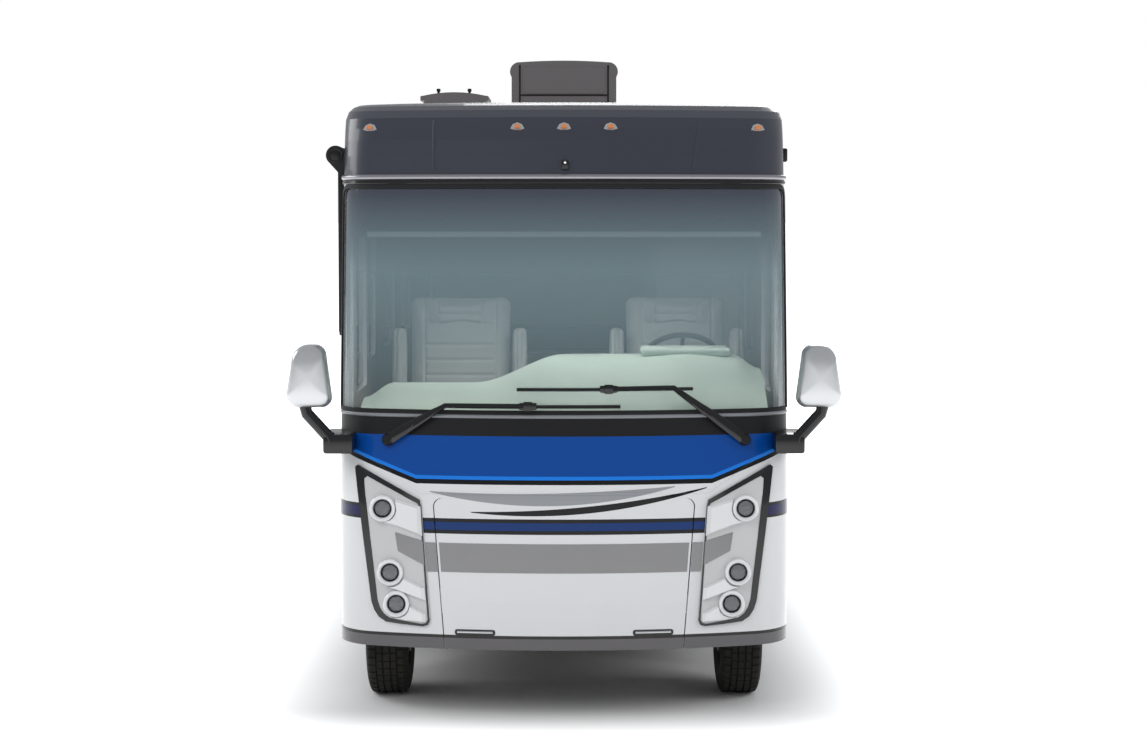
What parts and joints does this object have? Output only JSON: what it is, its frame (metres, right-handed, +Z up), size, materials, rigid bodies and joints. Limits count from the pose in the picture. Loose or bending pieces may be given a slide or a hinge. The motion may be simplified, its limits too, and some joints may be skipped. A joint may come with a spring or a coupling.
{
  "type": "motorhome",
  "caption": "Front-engined motorhome with raked windshield, lamp pods, front hatch, slide room, entry door, baggage doors and steered front wheels.",
  "frame": {"origin": "on the ground below the middle of the coach", "axes": "+Z up, the front faces -Y, +X towards the driver's side"},
  "size_m": [3.112, 9.7498, 3.9239],
  "materials": {
    "white_body": "gloss gel coat",
    "dark_brow": "gloss",
    "roof_skin": "satin membrane",
    "black_trim": "satin",
    "tinted_glass": "clear gloss",
    "windshield_glass": "clear gloss",
    "chassis_steel": "satin",
    "engine_grey": "rough",
    "exhaust_steel": "dull",
    "tank_plastic": "matt",
    "floor_board": "matt",
    "lamp_housing": "gloss",
    "lamp_lens": "clear gloss",
    "amber_lens": "gloss",
    "red_lens": "gloss",
    "mirror_shell": "polished",
    "ladder_tube": "polished",
    "tyre": "matt",
    "wheel_metal": "polished",
    "dash_trim": "satin",
    "seat_leather": "soft",
    "wheel_grip": "soft",
    "cabinet_wood": "satin",
    "bay_lining": "satin"
  },
  "bodies": {
    "coach": {"frame_rails": "chassis_steel", "floor_joists": "chassis_steel", "engine": "engine_grey", "driveline": "chassis_steel", "front_axle": "chassis_steel", "rear_axle": "chassis_steel", "fuel_tank": "tank_plastic", "exhaust": "exhaust_steel", "floor": "floor_board", "entry_steps": "bay_lining", "left_wall": "white_body", "right_wall": "white_body", "side_glass": "tinted_glass", "roof": "roof_skin", "left_basement": "white_body", "right_basement": "white_body", "left_bays": "bay_lining", "right_bays": "bay_lining", "nose_cap": "white_body", "brow_cap": "dark_brow", "windshield": "windshield_glass", "cowl": "black_trim", "lamp_pods": "lamp_housing", "headlamps": "lamp_lens", "clearance_lamps": "amber_lens", "rear_cap": "white_body", "tail_lamps": "red_lens", "ladder": "ladder_tube", "rear_bumper": "white_body", "mirrors": "mirror_shell", "wipers": "black_trim", "roof_units": "dark_brow", "awning": "black_trim", "dashboard": "dash_trim", "overhead_cabinet": "cabinet_wood", "front_seats": "seat_leather"},
    "front_hatch": {"front_hatch": "white_body"},
    "entry_door": {"entry_door": "white_body", "entry_door_glass": "tinted_glass"},
    "left_bay_door_1": {"left_bay_door_1": "white_body"},
    "left_bay_door_2": {"left_bay_door_2": "white_body"},
    "right_bay_door_1": {"right_bay_door_1": "white_body"},
    "right_bay_door_2": {"right_bay_door_2": "white_body"},
    "slide_room": {"slide_room": "white_body", "slide_glass": "tinted_glass", "slide_topper": "black_trim"},
    "left_knuckle": {"left_knuckle": "chassis_steel"},
    "right_knuckle": {"right_knuckle": "chassis_steel"},
    "tie_rod": {"tie_rod": "chassis_steel"},
    "steering_wheel": {"steering_wheel": "wheel_grip"},
    "left_front_wheel": {"left_front_tyre": "tyre", "left_front_rim": "wheel_metal"},
    "right_front_wheel": {"right_front_tyre": "tyre", "right_front_rim": "wheel_metal"},
    "left_rear_wheels": {"left_rear_tyres": "tyre", "left_rear_rims": "wheel_metal"},
    "right_rear_wheels": {"right_rear_tyres": "tyre", "right_rear_rims": "wheel_metal"}
  },
  "joints": [
    {"name": "steer_left", "type": "hinge", "parent": "coach", "child": "left_knuckle", "pos_m": [0.85, -3.885, 0.419], "axis": [0, 0, 1], "range_deg": [-40, 40]},
    {"name": "steer_right", "type": "hinge", "parent": "coach", "child": "right_knuckle", "pos_m": [-0.85, -3.885, 0.419], "axis": [0, 0, 1], "range_deg": [-40, 40]},
    {"name": "tie_rod_swing", "type": "hinge", "parent": "left_knuckle", "child": "tie_rod", "pos_m": [0.85, -3.715, 0.304], "axis": [0, 0, 1], "range_deg": [-40, 40]},
    {"name": "steering_turn", "type": "hinge", "parent": "coach", "child": "steering_wheel", "pos_m": [0.715, -3.625, 2], "axis": [0, 0.6428, 0.766], "range_deg": [-520, 520]},
    {"name": "left_front_spin", "type": "hinge", "parent": "left_knuckle", "child": "left_front_wheel", "pos_m": [1.04, -3.885, 0.419], "axis": [1, 0, 0], "continuous": true},
    {"name": "left_rear_spin", "type": "hinge", "parent": "coach", "child": "left_rear_wheels", "pos_m": [0.925, 1.905, 0.419], "axis": [1, 0, 0], "continuous": true},
    {"name": "right_front_spin", "type": "hinge", "parent": "right_knuckle", "child": "right_front_wheel", "pos_m": [-1.04, -3.885, 0.419], "axis": [1, 0, 0], "continuous": true},
    {"name": "right_rear_spin", "type": "hinge", "parent": "coach", "child": "right_rear_wheels", "pos_m": [-0.925, 1.905, 0.419], "axis": [1, 0, 0], "continuous": true},
    {"name": "front_hatch_hinge", "type": "hinge", "parent": "coach", "child": "front_hatch", "pos_m": [0, -4.8653, 1.2827], "axis": [-1, 0, 0], "range_deg": [0, 80]},
    {"name": "entry_door_hinge", "type": "hinge", "parent": "coach", "child": "entry_door", "pos_m": [-1.285, -3.1547, 1.7], "axis": [0, 0, 1], "range_deg": [0, 100]},
    {"name": "left_bay_hinge_1", "type": "hinge", "parent": "coach", "child": "left_bay_door_1", "pos_m": [1.285, -2.0275, 0.9177], "axis": [0, -1, 0], "range_deg": [0, 90]},
    {"name": "left_bay_hinge_2", "type": "hinge", "parent": "coach", "child": "left_bay_door_2", "pos_m": [1.285, 0.1875, 0.9177], "axis": [0, -1, 0], "range_deg": [0, 90]},
    {"name": "right_bay_hinge_1", "type": "hinge", "parent": "coach", "child": "right_bay_door_1", "pos_m": [-1.285, -1.45, 0.9177], "axis": [0, 1, 0], "range_deg": [0, 90]},
    {"name": "right_bay_hinge_2", "type": "hinge", "parent": "coach", "child": "right_bay_door_2", "pos_m": [-1.285, 0.38, 0.9177], "axis": [0, 1, 0], "range_deg": [0, 90]},
    {"name": "slide_out", "type": "slide", "parent": "coach", "child": "slide_room", "axis": [1, 0, 0], "range_m": [0, 0.58]}
  ],
  "couplings": [
    {"joint": "steer_right", "follows": "steer_left", "ratio": 1},
    {"joint": "tie_rod_swing", "follows": "steer_left", "ratio": -1},
    {"joint": "steering_turn", "follows": "steer_left", "ratio": 13}
  ]
}
